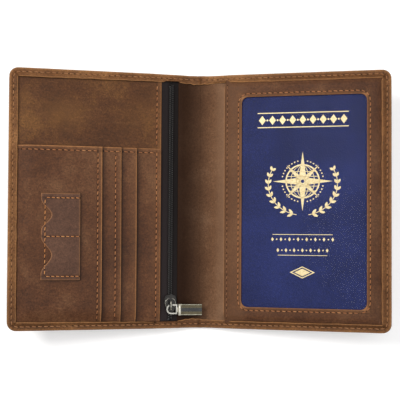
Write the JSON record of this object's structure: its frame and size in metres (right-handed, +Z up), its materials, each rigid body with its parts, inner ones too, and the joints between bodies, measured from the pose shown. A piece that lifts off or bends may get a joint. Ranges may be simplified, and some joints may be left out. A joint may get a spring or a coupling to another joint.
{
  "type": "travel document organizer",
  "caption": "Bifold leather travel wallet lying open, with card slots, memory card pocket, ticket pocket and zip pocket on one cover and a windowed passport pocket on the other.",
  "frame": {"origin": "centre of the spine's outside face, on the surface the wallet rests on", "axes": "+X across the open wallet towards the passport cover, +Y towards the top edge, +Z up out of the inside face"},
  "size_m": [0.2082, 0.143, 0.0271],
  "materials": {
    "outer_leather": "waxed crazy-horse leather, worn lighter at the edges",
    "panel_leather": "waxed crazy-horse leather, dark brown, matte",
    "lining_leather": "smooth dark brown leather",
    "interlining": "plain bonded board",
    "pocket_fabric": "plain weave pocket lining",
    "zip_tape": "black woven tape",
    "zip_coil": "black nylon coil",
    "slider_metal": "gunmetal plating",
    "pull_metal": "antique nickel, brushed",
    "thread": "waxed orange-tan polyester thread",
    "window_film": "clear vinyl film",
    "booklet_cover": "navy grained book cloth",
    "booklet_paper": "plain paper",
    "booklet_foil": "gold stamping foil"
  },
  "bodies": {
    "spine": {"spine_leather": "outer_leather", "spine_lining": "lining_leather", "spine_thread": "thread"},
    "left_cover": {"left_cover_leather": "outer_leather", "left_interlining": "interlining", "zip_pocket_lining": "pocket_fabric", "zip_facing": "lining_leather", "zip_tape_left": "zip_tape", "zip_tape_right": "zip_tape", "zip_coil_left": "zip_coil", "zip_coil_right": "zip_coil", "ticket_panel": "panel_leather", "card_panel_base": "panel_leather", "card_panel_lower": "panel_leather", "card_panel_middle": "panel_leather", "card_panel_front": "panel_leather", "sim_pocket": "panel_leather", "left_border_thread": "thread", "pocket_top_thread": "thread", "front_edge_thread": "thread", "middle_edge_thread": "thread", "ticket_edge_thread": "thread", "sim_thread": "thread"},
    "zip_slider": {"slider_body": "slider_metal"},
    "zip_pull": {"pull_link": "slider_metal", "pull_collar": "pull_metal", "pull_bar": "pull_metal"},
    "right_cover": {"right_cover_leather": "outer_leather", "right_interlining": "interlining", "right_lining": "lining_leather", "passport_panel": "panel_leather", "window_film": "window_film", "window_thread": "thread", "panel_edge_thread": "thread", "right_border_thread": "thread", "booklet_cover": "booklet_cover", "booklet_pages": "booklet_paper", "booklet_foil": "booklet_foil"}
  },
  "joints": [
    {"name": "left_cover_fold", "type": "hinge", "parent": "spine", "child": "left_cover", "pos_m": [-0.0056, 0, 0.0021], "axis": [0, 1, 0], "range_deg": [-12.5, 77.5]},
    {"name": "right_cover_fold", "type": "hinge", "parent": "spine", "child": "right_cover", "pos_m": [0.0056, 0, 0.0021], "axis": [0, -1, 0], "range_deg": [-12.5, 77.5]},
    {"name": "zip_slider_slide", "type": "slide", "parent": "left_cover", "child": "zip_slider", "axis": [0, 1, 0], "range_m": [0, 0.105]},
    {"name": "zip_pull_swing", "type": "hinge", "parent": "zip_slider", "child": "zip_pull", "pos_m": [-0.0161, -0.06, 0.0074], "axis": [0.2164, 0, 0.9763], "range_deg": [-17.6, 108.6]}
  ],
  "couplings": [
    {"joint": "zip_pull_swing", "follows": "left_cover_fold", "ratio": 1.4}
  ]
}
